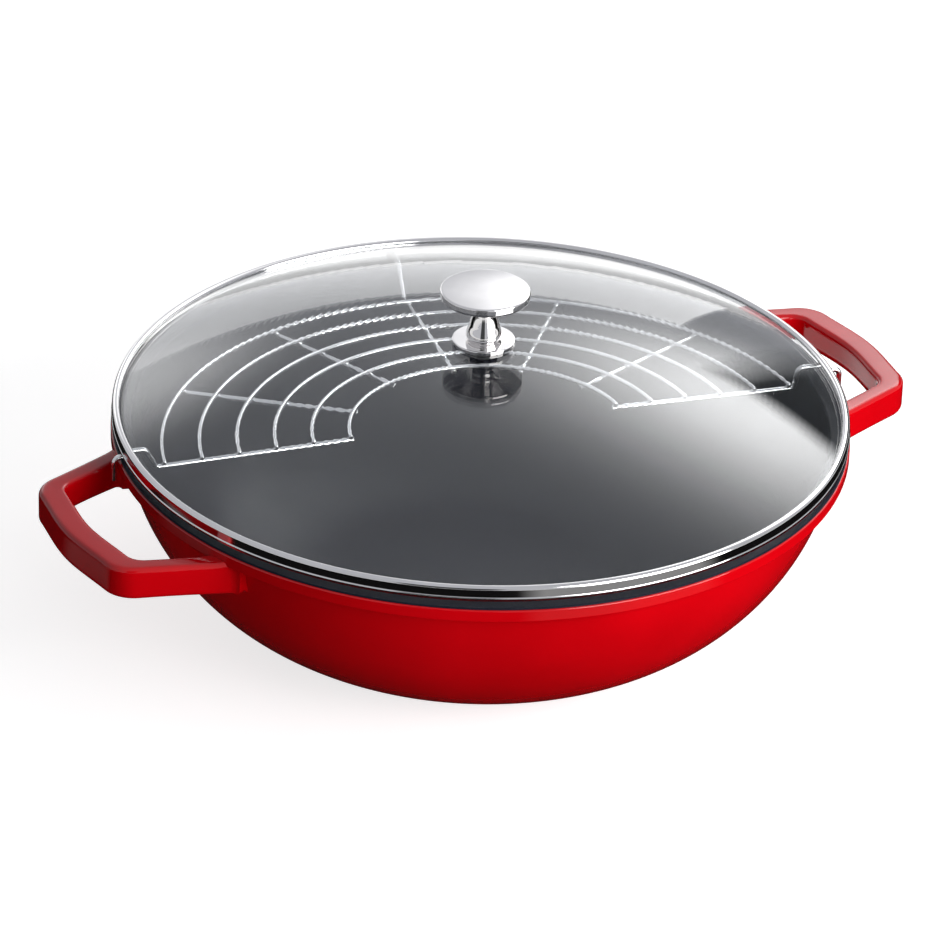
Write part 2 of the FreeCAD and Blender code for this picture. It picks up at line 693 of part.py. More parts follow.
def main():
    os.makedirs("parts", exist_ok=True)
    write("wok_casting", wok_casting())
    write("inner_enamel", inner_enamel())
    for index in range(arc_count):
        write("rack_arc_%d" % (index + 1), rack_arc(index))
    write("rack_end_bar_left", rack_end_bar(-1, hook_run_left, hook_leg_gap_left))
    write("rack_end_bar_right", rack_end_bar(1, hook_run_right, hook_leg_gap_right))
    for index in range(spoke_count):
        write("rack_spoke_%d" % (index + 1), rack_spoke(index))
    write("lid_glass", lid_glass())
    write("lid_rim_band", lid_rim_band())
    write("upper_gasket", upper_gasket())
    write("knob_escutcheon", knob_escutcheon())
    write("lid_knob", lid_knob())
    write("lower_gasket", lower_gasket())
    write("knob_washer", knob_washer())
    write("knob_screw", knob_screw())


main()
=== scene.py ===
import math

import bmesh
import bpy
import numpy as np
from mathutils import Matrix


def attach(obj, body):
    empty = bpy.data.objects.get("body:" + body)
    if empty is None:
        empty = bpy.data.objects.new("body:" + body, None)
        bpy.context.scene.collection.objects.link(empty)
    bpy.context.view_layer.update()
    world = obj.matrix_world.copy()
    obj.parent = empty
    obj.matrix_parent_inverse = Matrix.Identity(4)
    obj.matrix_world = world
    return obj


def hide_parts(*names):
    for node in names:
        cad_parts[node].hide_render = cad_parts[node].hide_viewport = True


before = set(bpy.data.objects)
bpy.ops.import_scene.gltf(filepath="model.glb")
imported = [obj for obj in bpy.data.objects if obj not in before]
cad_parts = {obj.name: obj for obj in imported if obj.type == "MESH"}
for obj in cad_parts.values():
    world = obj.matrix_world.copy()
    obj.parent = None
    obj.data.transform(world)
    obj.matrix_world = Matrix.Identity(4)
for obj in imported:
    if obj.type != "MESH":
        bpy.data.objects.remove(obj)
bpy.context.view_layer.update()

mm = 0.001  # the pieces' dictionaries are in millimetres and degrees, the studio's in metres and degrees
print("frame loaded,", len(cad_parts), "nodes")


def unit(v):
    # each vector divided by its own length
    return v / np.linalg.norm(v, axis=-1, keepdims=True)


def roundCorner(before, corner, after, radius, steps):
    # arc tangent to both runs: its centre is on the corner's bisector, radius / sin(half the corner) away,
    # and its points swing from one tangent point to the other at an even rate
    back, ahead = unit(before - corner), unit(after - corner)
    half = math.acos(float(np.clip(back @ ahead, -1, 1))) / 2
    centre = corner + unit(back + ahead) * radius / math.sin(half)
    first = corner + back * radius / math.tan(half) - centre
    last = corner + ahead * radius / math.tan(half) - centre
    sweep = math.pi - 2 * half
    t = np.linspace(0, 1, steps)[:, None]
    return centre + (np.sin((1 - t) * sweep) * first + np.sin(t * sweep) * last) / math.sin(sweep)


def filletedLine(corners, closed=False, steps=7):
    # straight runs through the corners, each corner with a radius turned into an arc, in 2 or 3 dimensions
    points = [np.array(p, float) for p, _ in corners]
    parts = []
    for i, (_, radius) in enumerate(corners):
        if radius <= 0 or (not closed and i in (0, len(corners) - 1)):
            parts.append(points[i][None])
        else:
            after = points[(i + 1) % len(points)]
            parts.append(roundCorner(points[i - 1], points[i], after, radius, steps))
    return np.concatenate(parts)


def holdEdges(line, gap, closed=False):
    # two more points on each long run, a gap inside its ends, so smooth shading stays flat between the rounds
    following = np.roll(line, -1, 0)
    run = following - line
    length = np.linalg.norm(run, axis=1)
    longRun = length > 4 * gap
    if not closed:
        longRun[-1] = False
    step = run / np.maximum(length, 1e-9)[:, None] * gap
    stacked = np.stack([line, line + step, following - step], 1)
    keep = np.stack([np.ones(len(line), bool), longRun, longRun], 1)
    return stacked[keep]


def arcPoints(centre, radius, start, end, count):
    # points of a circle about a centre between two angles in radians
    a = np.linspace(start, end, count)
    return np.stack([centre[0] + radius * np.cos(a), centre[1] + radius * np.sin(a)], 1)


def turnProfile(profile, angles):
    # each (radius, height) of the profile carried round Z: x = radius cos a, y = radius sin a, z = height
    a = angles[:, None]
    r, z = profile[:, 0][None], profile[:, 1][None]
    return np.stack([r * np.cos(a), r * np.sin(a), z + 0 * a], -1)


def tubeAlong(path, radii, reference, sides):
    # a ring about each path point, in the plane across the path: point + radius (side cos a + up sin a),
    # where side is the tangent crossed with the reference
    step = unit(np.diff(path, axis=0))
    tangent = unit(np.concatenate([step[:1], step[:-1] + step[1:], step[-1:]]))
    side = unit(np.cross(tangent, reference))
    up = np.cross(side, tangent)
    a = np.linspace(0, 2 * math.pi, sides, endpoint=False)[None, :, None]
    ring = side[:, None] * np.cos(a) + up[:, None] * np.sin(a)
    return path[:, None] + ring * radii[:, None, None]


def wireTube(path, diameter, reference, sides=18, endRound=0.35, capSteps=4):
    # tube of even thickness whose two cut ends are eased by a quarter round and closed at a point
    a = np.linspace(0, math.pi / 2, capSteps)
    head, tail = unit(path[0] - path[1]), unit(path[-1] - path[-2])
    inward = (1 - np.sin(a)) * endRound
    headPath = path[0] - head * inward[::-1, None]
    tailPath = path[-1] - tail * inward[:, None]
    r = diameter / 2
    capRadii = r - endRound + endRound * np.cos(a)
    line = np.concatenate([path[:1] + head * 1e-3, headPath, path[1:-1], tailPath, path[-1:] + tail * 1e-3])
    radii = np.concatenate([[1e-5], capRadii[::-1], np.full(len(path) - 2, r), capRadii, [1e-5]])
    return tubeAlong(line, radii, np.array(reference, float), sides)


def surface(name, points, closeU=False, closeV=False, sharp=38):
    # quads between neighbouring grid points; UV is the length run along each direction, in metres
    points = points * mm
    nu, nv = points.shape[:2]
    rows, columns = np.arange(nu if closeU else nu - 1), np.arange(nv if closeV else nv - 1)
    u, v = np.meshgrid(rows, columns, indexing="ij")
    u1, v1 = (u + 1) % nu, (v + 1) % nv
    quads = np.stack([u * nv + v, u1 * nv + v, u1 * nv + v1, u * nv + v1], -1).reshape(-1, 4)
    alongU = np.linalg.norm(np.roll(points, -1, 0) - points, axis=2).max(1)
    alongV = np.linalg.norm(np.roll(points, -1, 1) - points, axis=2).max(0)
    lu, lv = np.append(0, np.cumsum(alongU)), np.append(0, np.cumsum(alongV))
    uv = np.stack([np.stack([lu[u], lv[v]], -1), np.stack([lu[u + 1], lv[v]], -1),
                   np.stack([lu[u + 1], lv[v + 1]], -1), np.stack([lu[u], lv[v + 1]], -1)], -2)
    mesh = bpy.data.meshes.new(name)
    mesh.vertices.add(nu * nv)
    mesh.vertices.foreach_set("co", points.reshape(-1))
    mesh.loops.add(quads.size)
    mesh.loops.foreach_set("vertex_index", quads.reshape(-1))
    mesh.polygons.add(len(quads))
    mesh.polygons.foreach_set("loop_start", np.arange(0, quads.size, 4))
    mesh.update(calc_edges=True)
    mesh.uv_layers.new(name="alongSurface").data.foreach_set("uv", uv.reshape(-1))
    work = bmesh.new()
    work.from_mesh(mesh)
    bmesh.ops.remove_doubles(work, verts=work.verts, dist=2e-6)
    bmesh.ops.dissolve_degenerate(work, edges=work.edges, dist=1e-7)
    bmesh.ops.recalc_face_normals(work, faces=work.faces)
    work.to_mesh(mesh)
    work.free()
    mesh.shade_smooth()
    mesh.set_sharp_from_angle(angle=math.radians(sharp))
    return mesh


def inScene(name, data):
    # a new object of the scene that carries a mesh, a lamp or a camera
    thing = bpy.data.objects.new(name, data)
    bpy.context.scene.collection.objects.link(thing)
    return thing


def addPiece(name, mesh, material, body, slot, *nodes):
    # puts a finished mesh in the scene, on its CAD body, in place of its CAD nodes
    piece = inScene(name, mesh)
    mesh.materials.append(material)
    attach(piece, body)
    if nodes:
        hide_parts(*nodes)
    return piece


def evenTurn(count):
    # angles of a full turn: step number x two pi / count
    return np.linspace(0, 2 * math.pi, count, endpoint=False)


def turnAbout(axis, degrees):
    # rotation about X, Y or Z (0, 1 or 2): cos twice on the diagonal, minus sin and sin across it
    a = math.radians(degrees)
    i, j = (axis + 1) % 3, (axis + 2) % 3
    matrix = np.eye(3)
    matrix[i, i] = matrix[j, j] = math.cos(a)
    matrix[i, j], matrix[j, i] = -math.sin(a), math.sin(a)
    return matrix


class Shader:
    # a short way to build node trees, of a material or of the world: values that are nodes' sockets are
    # linked, others are set

    def __init__(self, name, world=None):
        self.owner = world or bpy.data.materials.new(name)
        self.owner.use_nodes = True
        self.tree = self.owner.node_tree
        self.tree.nodes.clear()
        self.output = self.add("OutputWorld" if world else "OutputMaterial")

    def add(self, kind, inputs=None, **settings):
        node = self.tree.nodes.new("ShaderNode" + kind)
        for key, value in settings.items():
            setattr(node, key, value)
        for key, value in (inputs or {}).items():
            if isinstance(value, bpy.types.NodeSocket):
                self.tree.links.new(value, node.inputs[key])
            else:
                node.inputs[key].default_value = value
        return node

    def calc(self, operation, *values):
        return self.add("Math", dict(enumerate(values)), operation=operation).outputs[0]

    def place(self, kind="Object", scale=(1, 1, 1), location=(0, 0, 0)):
        inputs = {"Vector": self.add("TexCoord").outputs[kind], "Scale": scale, "Location": location}
        return self.add("Mapping", inputs).outputs["Vector"]

    def noise(self, vector, scale, detail=3.0, roughness=0.5):
        return self.add("TexNoise", {"Vector": vector, "Scale": scale, "Detail": detail,
                                     "Roughness": roughness}).outputs["Fac"]

    def ramp(self, value, low, high, lowOut, highOut):
        return self.add("MapRange", {"Value": value, "From Min": low, "From Max": high,
                                     "To Min": lowOut, "To Max": highOut}).outputs["Result"]

    def mixColour(self, factor, a, b):
        a, b = [v if isinstance(v, bpy.types.NodeSocket) else (*v, 1) for v in (a, b)]
        return self.add("Mix", {0: factor, 6: a, 7: b}, data_type="RGBA").outputs[2]

    def bump(self, height, strength, distance, normal=None):
        inputs = {"Height": height, "Strength": strength, "Distance": distance}
        if normal is not None:
            inputs["Normal"] = normal
        return self.add("Bump", inputs).outputs["Normal"]

    def finish(self, shader):
        self.tree.links.new(shader, self.output.inputs["Surface"])
        return self.owner

    def paint(self, inputs):
        return self.finish(self.add("BsdfPrincipled", inputs).outputs[0])


def redEnamel():
    # wet-looking vitreous enamel: deep and bright red in slow clouds, a faint orange peel, black underneath
    look = {"bright": (0.60, 0.0006, 0.0042), "deep": (0.50, 0.0004, 0.0032), "cloud": 14, "peel": 85,
            "peelStrength": 0.22, "peelDepth": 0.0004, "grit": 900, "gritStrength": 0.03,
            "gritDepth": 0.0001, "roughLow": 0.04, "roughHigh": 0.08, "footTop": 0.0012,
            "footRough": 0.45, "foot": (0.012, 0.012, 0.013), "ior": 1.48}
    s = Shader("redEnamel")
    spot = s.place()
    cloud = s.noise(spot, look["cloud"], 2)
    red = s.mixColour(s.ramp(cloud, 0.35, 0.65, 0, 1), look["deep"], look["bright"])
    height = s.add("SeparateXYZ", {"Vector": spot}).outputs["Z"]
    footMask = s.ramp(height, look["footTop"] * 0.6, look["footTop"], 1, 0)
    colour = s.mixColour(footMask, red, look["foot"])
    grit = s.noise(spot, look["grit"], 4)
    rough = s.ramp(grit, 0.3, 0.7, look["roughLow"], look["roughHigh"])
    rough = s.calc("ADD", rough, s.ramp(footMask, 0, 1, 0, look["footRough"]))
    peel = s.bump(s.noise(spot, look["peel"], 1.5), look["peelStrength"], look["peelDepth"])
    normal = s.bump(grit, look["gritStrength"], look["gritDepth"], peel)
    return s.paint({"Base Color": colour, "Roughness": rough, "Normal": normal, "IOR": look["ior"]})


def blackEnamel():
    # satin black lining with a fine grain and slow changes in sheen; the wall is duller than the worn floor
    look = {"dark": (0.009, 0.0105, 0.019), "light": (0.015, 0.0175, 0.029), "cloud": 22, "grain": 1500,
            "grainStrength": 0.25, "grainDepth": 0.00012, "roughLow": 0.34, "roughHigh": 0.46,
            "floorSheen": 0.75, "wallSheen": 0.18, "sheenFrom": 0.03, "sheenTo": 0.052, "ior": 1.33}
    s = Shader("blackEnamel")
    spot = s.place()
    cloud = s.noise(spot, look["cloud"], 3)
    grain = s.noise(spot, look["grain"], 3, 0.6)
    colour = s.mixColour(s.ramp(grain, 0.35, 0.65, 0, 1), look["dark"], look["light"])
    rough = s.ramp(cloud, 0.3, 0.7, look["roughLow"], look["roughHigh"])
    normal = s.bump(grain, look["grainStrength"], look["grainDepth"])
    height = s.add("SeparateXYZ", {"Vector": spot}).outputs["Z"]
    sheen = s.ramp(height, look["sheenFrom"], look["sheenTo"], look["floorSheen"], look["wallSheen"])
    return s.paint({"Base Color": colour, "Roughness": rough, "IOR": look["ior"],
                    "Specular IOR Level": sheen, "Normal": normal})


def drawnSteel(name, look):
    # polished metal with fine lines that run along the first UV direction, as drawing or turning leaves them
    lineDepth = 0.00003
    s = Shader(name)
    lines = s.noise(s.place("UV", look["lineScale"]), 1.0, 4, 0.6)
    patches = s.noise(s.place(), look["patch"], 2)
    rough = s.calc("ADD", s.ramp(lines, 0.3, 0.7, look["roughLow"], look["roughHigh"]),
                   s.ramp(patches, 0.3, 0.7, 0, look["patchRough"]))
    colour = s.mixColour(s.ramp(patches, 0.35, 0.65, 0, 1), look["colourLow"], look["colourHigh"])
    normal = s.bump(lines, look["lineStrength"], lineDepth)
    return s.paint({"Base Color": colour, "Metallic": 1.0, "Roughness": rough, "Normal": normal})


def clearGlass():
    # clear tempered glass: refracting, almost perfectly smooth, with a very slow waviness
    look = {"tint": (0.975, 0.985, 0.985, 1), "wave": 9, "waveStrength": 0.02, "waveDepth": 0.0003,
            "smudge": 260, "smudgeRough": 0.012, "ior": 1.5}
    s = Shader("clearGlass")
    wave = s.noise(s.place(), look["wave"], 1)
    normal = s.bump(wave, look["waveStrength"], look["waveDepth"])
    rough = s.ramp(s.noise(s.place(), look["smudge"], 3), 0.45, 0.75, 0.0, look["smudgeRough"])
    return s.paint({"Base Color": look["tint"], "Roughness": rough, "IOR": look["ior"],
                    "Transmission Weight": 1.0, "Normal": normal})


def softRubber():
    # matt dark grey silicone with a fine moulded grain
    look = {"dark": (0.018, 0.018, 0.02), "light": (0.035, 0.035, 0.038), "grain": 2600,
            "grainStrength": 0.2, "grainDepth": 0.00008, "roughLow": 0.5, "roughHigh": 0.68}
    s = Shader("softRubber")
    grain = s.noise(s.place(), look["grain"], 3)
    colour = s.mixColour(s.ramp(grain, 0.3, 0.7, 0, 1), look["dark"], look["light"])
    rough = s.ramp(grain, 0.3, 0.7, look["roughLow"], look["roughHigh"])
    normal = s.bump(grain, look["grainStrength"], look["grainDepth"])
    return s.paint({"Base Color": colour, "Roughness": rough, "Normal": normal})


finish = {
    "redEnamel": redEnamel(),
    "blackEnamel": blackEnamel(),
    "wire": drawnSteel("brightWire", {
        "lineScale": (60, 9000, 1), "lineStrength": 0.12, "patch": 60, "patchRough": 0.06,
        "roughLow": 0.14, "roughHigh": 0.26, "colourLow": (0.74, 0.75, 0.76),
        "colourHigh": (0.84, 0.84, 0.85)}),
    "band": drawnSteel("rolledBand", {
        "lineScale": (14, 9000, 1), "lineStrength": 0.06, "patch": 25, "patchRough": 0.03,
        "roughLow": 0.05, "roughHigh": 0.11, "colourLow": (0.72, 0.71, 0.71),
        "colourHigh": (0.80, 0.79, 0.79)}),
    "knob": drawnSteel("mirrorSteel", {
        "lineScale": (8, 5000, 1), "lineStrength": 0.03, "patch": 70, "patchRough": 0.02,
        "roughLow": 0.03, "roughHigh": 0.06, "colourLow": (0.80, 0.785, 0.78),
        "colourHigh": (0.86, 0.845, 0.84)}),
    "screw": drawnSteel("plainSteel", {
        "lineScale": (40, 2500, 1), "lineStrength": 0.1, "patch": 120, "patchRough": 0.08,
        "roughLow": 0.25, "roughHigh": 0.4, "colourLow": (0.5, 0.5, 0.51),
        "colourHigh": (0.62, 0.62, 0.63)}),
    "glass": clearGlass(),
    "rubber": softRubber(),
}
print("finishes ready,", len(finish))


bowl = {"baseRadius": 79, "baseRound": 14, "floor": 5, "floorRound": 80, "wall": 4.5, "wallArc": 98,
        "wallTop": 150, "lipBottom": 79, "lipHeight": 6.5, "lipOver": 5.5, "lipRound": 0.7,
        "lipSlope": 0.22, "ledge": 0.7, "lining": 0.5, "liningGap": 0.15, "rimBand": 0.7,
        "rimRound": 0.45, "rimInnerRound": 0.9, "segments": 384}
lipTop = bowl["lipBottom"] + bowl["lipHeight"]
lipOuter = bowl["wallTop"] + bowl["lipOver"]
rimTop = lipTop + bowl["rimBand"]


def wallCentre():
    # centre of the wall's arc: on the perpendicular through the middle of the chord from foot to lip
    foot, top = np.array([bowl["baseRadius"], 0.0]), np.array([bowl["wallTop"], bowl["lipBottom"]])
    chord = top - foot
    length = np.linalg.norm(chord)
    inward = np.array([-chord[1], chord[0]]) / length
    return (foot + top) / 2 + inward * math.sqrt(bowl["wallArc"] ** 2 - length ** 2 / 4)


def wallRadius(z, inset=0.0):
    # distance of the wall's face from the axis at a height
    centre = wallCentre()
    return centre[0] + math.sqrt((bowl["wallArc"] - inset) ** 2 - (centre[1] - z) ** 2)


def wallArc(inset, lowZ, highZ, count):
    # the wall's face between two heights, upwards
    centre = wallCentre()
    radius = bowl["wallArc"] - inset
    angles = [math.atan2(z - centre[1], wallRadius(z, inset) - centre[0]) for z in (lowZ, highZ)]
    return arcPoints(centre, radius, angles[0], angles[1], count)


def floorAndWall(inset, floorZ, topZ, blend, count):
    # inside of the bowl from the middle of the floor up: level run, an arc tangent to floor and wall, the
    # wall's arc. The blend's centre is (wall's radius - blend) from the wall's centre
    centre, inner = wallCentre(), bowl["wallArc"] - inset
    blendX = centre[0] + math.sqrt((inner - blend) ** 2 - (centre[1] - floorZ - blend) ** 2)
    blendCentre = np.array([blendX, floorZ + blend])
    meet = centre + unit(blendCentre - centre) * inner
    meetAngle = math.atan2(meet[1] - blendCentre[1], meet[0] - blendX)
    level = np.stack([np.linspace(0, blendX, 6), np.full(6, floorZ)], 1)[:-1]
    return np.concatenate([level, arcPoints(blendCentre, blend, -math.pi / 2, meetAngle, 26),
                           wallArc(inset, meet[1], topZ, count)[1:]])


def castingProfile():
    # half section of the iron: from the axis under the base, out and up to the lip, then down the inside
    centre = wallCentre()
    blend = bowl["baseRound"]
    blendX = centre[0] + math.sqrt((bowl["wallArc"] - blend) ** 2 - (centre[1] - blend) ** 2)
    meet = centre + unit(np.array([blendX, blend]) - centre) * bowl["wallArc"]
    meetAngle = math.atan2(meet[1] - blend, meet[0] - blendX)
    foot = arcPoints((blendX, blend), blend, -math.pi / 2, meetAngle, 14)
    wall = wallArc(0, meet[1], bowl["lipBottom"], 56)[1:]
    under = bowl["lipBottom"] + bowl["lipOver"] * bowl["lipSlope"]
    inner = wallRadius(lipTop, bowl["wall"])
    lip = filletedLine([((bowl["wallTop"], bowl["lipBottom"]), 0), ((lipOuter, under), bowl["lipRound"]),
                        ((lipOuter, lipTop), bowl["lipRound"]), ((inner, lipTop), 0)])[1:]
    inside = floorAndWall(bowl["wall"], bowl["floor"], lipTop, bowl["floorRound"], 30)[::-1][1:]
    return np.concatenate([[[0.0, 0.0]], holdEdges(np.concatenate([foot, wall]), 0.5), holdEdges(lip, 0.12),
                           inside])


def liningProfile():
    # half section of the black lining: floor and wall skin, then the flat band over the rim
    inset = bowl["wall"] + bowl["liningGap"]
    skin = bowl["wall"] + bowl["lining"]
    bandEdge = lipOuter - bowl["ledge"]
    rimInner = wallRadius(rimTop, skin)
    over = filletedLine([((wallRadius(rimTop - 2, skin), rimTop - 2), 0),
                         ((rimInner, rimTop), bowl["rimInnerRound"]),
                         ((bandEdge, rimTop), bowl["rimRound"]), ((bandEdge, lipTop + 0.01), 0)])
    face = floorAndWall(skin, bowl["floor"] + bowl["lining"], rimTop - 2.2,
                        bowl["floorRound"] - bowl["lining"], 50)
    back = floorAndWall(inset, bowl["floor"] + 0.02, lipTop, bowl["floorRound"] - bowl["liningGap"], 36)
    return np.concatenate([face, holdEdges(over, 0.12), back[::-1]])


for name, profile, look, slot, node in (
        ("castBowl", castingProfile(), "redEnamel", "red_enamel", "wok_casting"),
        ("bowlLining", liningProfile(), "blackEnamel", "black_enamel", "inner_enamel")):
    turned = turnProfile(profile, evenTurn(bowl["segments"]))
    addPiece(name, surface(name, turned, closeU=True), finish[look], "pan", slot, node)

handle = {"length": 37.9, "bow": 3.4, "bowAt": 30, "barWidth": 11.8, "armStation": 4.5, "armOffset": 48.8,
          "armSlope": 0.34, "armWidth": 9.2, "outerCorner": 14, "innerCorner": 8, "rootFlare": 5,
          "gapFillet": 2.2, "thickness": 14.4, "drop": 4.0, "topRound": 2.2, "bottomRound": 2.8,
          "gripRound": 4.8, "crown": 0.15, "topFillet": 0.4, "underFillet": 1.2, "bury": 6.4,
          "holdTop": 1.5, "holdLow": 0.6}


def handleEdge(insetBar, insetArm, corner, flare, flareSide):
    # half plan of one edge of the loop, bar's middle to inside the wall: a Hermite curve along the bar, an
    # arc at the corner, the straight arm, and an arc that is tangent to the arm and to the bowl
    reach = lipOuter + handle["length"] - insetBar
    middle, barEnd = np.array([reach, 0.0]), np.array([reach - handle["bow"], handle["bowAt"]])
    slope = unit(np.array([1.0, -handle["armSlope"]]))
    arm = np.array([lipOuter + handle["armStation"], handle["armOffset"] - insetArm])
    along = unit(middle - barEnd)
    meet = np.linalg.solve(np.stack([slope, -along], 1), barEnd - arm)
    cornerPoint = arm + slope * meet[0]
    bend = roundCorner(cornerPoint + along, cornerPoint, cornerPoint - slope, corner, 12)
    t = np.linspace(0, 1, 14)[:-1, None]
    span = np.linalg.norm(bend[0] - middle)
    bar = ((2 * t ** 3 - 3 * t ** 2 + 1) * middle + (t ** 3 - 2 * t ** 2 + t) * span * np.array([0.0, 1.0])
           + (-2 * t ** 3 + 3 * t ** 2) * bend[0] - (t ** 3 - t ** 2) * span * along)
    body = bowl["wallTop"] + bowl["lipOver"] / 2
    normal = np.array([-slope[1], slope[0]]) * flareSide
    shifted = arm + normal * flare
    inner = -(shifted @ slope) + math.sqrt((shifted @ slope) ** 2 - shifted @ shifted + (body + flare) ** 2)
    centre = shifted + slope * inner
    onArm, onBody = centre - normal * flare, centre * body / (body + flare)
    armRun = bend[-1] + (onArm - bend[-1]) * np.linspace(0, 1, 8)[1:-1, None]
    first, last = onArm - centre, onBody - centre
    sweep = math.acos(float(np.clip(unit(first) @ unit(last), -1, 1)))
    q = np.linspace(0, 1, 12)[:, None]
    fillet = centre + (np.sin((1 - q) * sweep) * first + np.sin(q * sweep) * last) / math.sin(sweep)
    inward = np.linspace(0, handle["bury"], 7)[1:, None]
    buried = onBody * (1 - inward / np.linalg.norm(onBody))
    return np.concatenate([bar, bend, armRun, fillet, buried])


def loopHandle(side):
    # section between the outer and inner edges: flat top with a slight crown, rounds at all four edges, and
    # a quarter fillet that lifts the top and drops the underside within a radius of the bowl
    halves = [handleEdge(0, 0, handle["outerCorner"], handle["rootFlare"], 1),
              handleEdge(handle["barWidth"], handle["armWidth"], handle["innerCorner"],
                         handle["gapFillet"], -1)]
    outer, inner = [np.concatenate([half[:0:-1] * [1, -1], half]) for half in halves]
    top, low = lipTop - handle["drop"], lipTop - handle["drop"] - handle["thickness"]
    rt = handle["topRound"]
    a = np.linspace(0, math.pi / 2, 8)

    def flank(rb):
        straight = [top - rt - handle["holdTop"], low + rb + handle["holdLow"]]
        return (np.concatenate([rt * (1 - np.sin(a)), [0.0, 0.0], rb * (1 - np.cos(a))]),
                np.concatenate([top - rt * (1 - np.cos(a)), straight, low + rb - rb * np.sin(a)]))
    (inset, level), (gripInset, gripLevel) = flank(handle["bottomRound"]), flank(handle["gripRound"])
    width = np.linalg.norm(inner - outer, axis=1)[:, None]
    across = (inner - outer) / width
    flat = np.linspace(0, 1, 7)[1:-1][None]
    topRun = rt + (width - 2 * rt) * flat[:, ::-1]
    lowRun = handle["bottomRound"] + (width - handle["bottomRound"] - handle["gripRound"]) * flat
    x = np.concatenate([inset + 0 * width, lowRun, width - gripInset[::-1], topRun], 1)
    z = np.concatenate([level, 0 * flat[0] + low, gripLevel[::-1], 0 * flat[0] + top])[None] + 0 * width
    z = z + np.where(z > (top + low) / 2, handle["crown"] * (1 - (2 * x / width - 1) ** 2), 0)
    middle = np.linalg.norm((outer + inner) / 2, axis=1)[:, None]

    def fillet(radius, wall):
        gap = np.clip(radius - (middle - wall), 0, radius)
        return radius - np.sqrt(radius ** 2 - gap ** 2)
    z = z + np.where(z > (top + low) / 2, fillet(handle["topFillet"], lipOuter),
                     -fillet(handle["underFillet"], wallRadius(low)))
    plan = outer[:, None] + across[:, None] * x[..., None]
    ends = [np.mean(plan[i], 0)[None] + 0 * plan[i] for i in (0, -1)]
    plan = np.concatenate([ends[0][None], plan, ends[1][None]])
    z = np.concatenate([z[:1] * 0 + (top + low) / 2, z, z[-1:] * 0 + (top + low) / 2])
    return np.concatenate([plan * side, z[..., None]], -1)


for name, side in (("loopHandleRight", 1), ("loopHandleLeft", -1)):
    addPiece(name, surface(name, loopHandle(side), closeV=True, sharp=50), finish["redEnamel"], "pan",
             "red_enamel", "wok_casting")
print("pan built")


rack = {"arcWire": 2.0, "frameWire": 2.4, "arcs": 6, "outerRadius": 138.7, "spacing": 15.9,
        "shift": (-2.2, -12.2), "weldSink": 0.15, "centre": (4.4, -0.6), "belowRim": 5.2, "yaw": -11.15,
        "tilt": 1.5, "barOffsetInner": 9.3, "barOffsetOuter": 6.2, "barOver": 1.5, "spokes": 5,
        "spokeOrigin": (2.0, 4.6), "spokeMiddle": 89.6, "spokeStep": 30.7, "spokeOver": 1.0,
        "arcOver": 1.7, "arcEndRound": 0.8, "bend": 2.6, "seatGap": 0.3, "shoulder": 2.2,
        "legDrop": 10.5, "runPast": {"left": 3.5, "right": 2.7, "rear": 8.0},
        "legGap": {"left": 1.0, "right": 6.5, "rear": 2.0}}
hookTop = rimTop + rack["seatGap"] + rack["frameWire"] / 2


def onRack(local):
    # a point of the rack's own level frame, tilted about X, turned about Z and moved to the rack's centre
    turn = turnAbout(2, rack["yaw"]) @ turnAbout(0, -rack["tilt"])
    return np.asarray(local, float) @ turn.T + [*rack["centre"], rimTop - rack["belowRim"]]


def arcRadius(index):
    # the outermost radius less one spacing for each arc further in
    return rack["outerRadius"] - index * rack["spacing"]


def barOffset(x):
    # the end bars close in on the centre line towards the rim, in proportion to the distance
    inner, outer = arcRadius(rack["arcs"] - 1), arcRadius(0)
    closing = rack["barOffsetOuter"] - rack["barOffsetInner"]
    return rack["barOffsetInner"] + (abs(x) - inner) / (outer - inner) * closing


def arcCentre(index):
    # the arcs' centres drift from the inner arc's to the outer's in even steps
    return np.array(rack["shift"]) * (rack["arcs"] - 1 - index) / (rack["arcs"] - 1)


def barCrossing(index, side):
    # where an end bar crosses an arc: x = centre + side * square root of (radius squared - (bar's y -
    # centre's y) squared), found by putting x back in
    centre, radius = arcCentre(index), arcRadius(index)
    x = centre[0] + side * radius
    for _ in range(8):
        x = centre[0] + side * math.sqrt(radius ** 2 - (barOffset(x) - centre[1]) ** 2)
    return np.array([x, barOffset(x)])


def spokeCrossing(number, index):
    # where a spoke's line meets an arc, and the line's direction: distance = along + square root of
    # (along squared - centre squared + radius squared), all from the point where the spokes' lines meet
    a = math.radians(rack["spokeMiddle"] + (number - (rack["spokes"] - 1) / 2) * rack["spokeStep"])
    heading, origin = np.array([math.cos(a), math.sin(a)]), np.array(rack["spokeOrigin"])
    centre = arcCentre(index) - origin
    along = centre @ heading
    reach = along + math.sqrt(along ** 2 - centre @ centre + arcRadius(index) ** 2)
    return origin + heading * reach, heading


underArcs = -(rack["arcWire"] + rack["frameWire"]) / 2 + rack["weldSink"]
rackUp = onRack((0, 0, 1)) - onRack((0, 0, 0))


def hookPath(innerEnd, crossing, place):
    # straight run under the arcs, climb to the rim, level run across it and down outside the lip
    heading = unit((crossing - innerEnd)[:2])
    along = innerEnd[:2] @ heading
    offset = innerEnd[:2] @ innerEnd[:2] - along ** 2

    def atRadius(radius, z):
        return np.append(innerEnd[:2] + heading * (math.sqrt(radius ** 2 - offset) - along), z)
    rimInner = wallRadius(rimTop, bowl["wall"] + bowl["lining"])
    leg = lipOuter + rack["legGap"][place] + rack["frameWire"] / 2
    climb = crossing + unit(crossing - innerEnd) * rack["runPast"][place]
    corners = [(innerEnd, 0), (climb, rack["bend"]),
               (atRadius(rimInner - rack["shoulder"], hookTop), rack["bend"]),
               (atRadius(leg, hookTop), rack["bend"]), (atRadius(leg, hookTop - rack["legDrop"]), 0)]
    return holdEdges(filletedLine(corners, steps=9), 0.4), np.array([-heading[1], heading[0], 0.0])


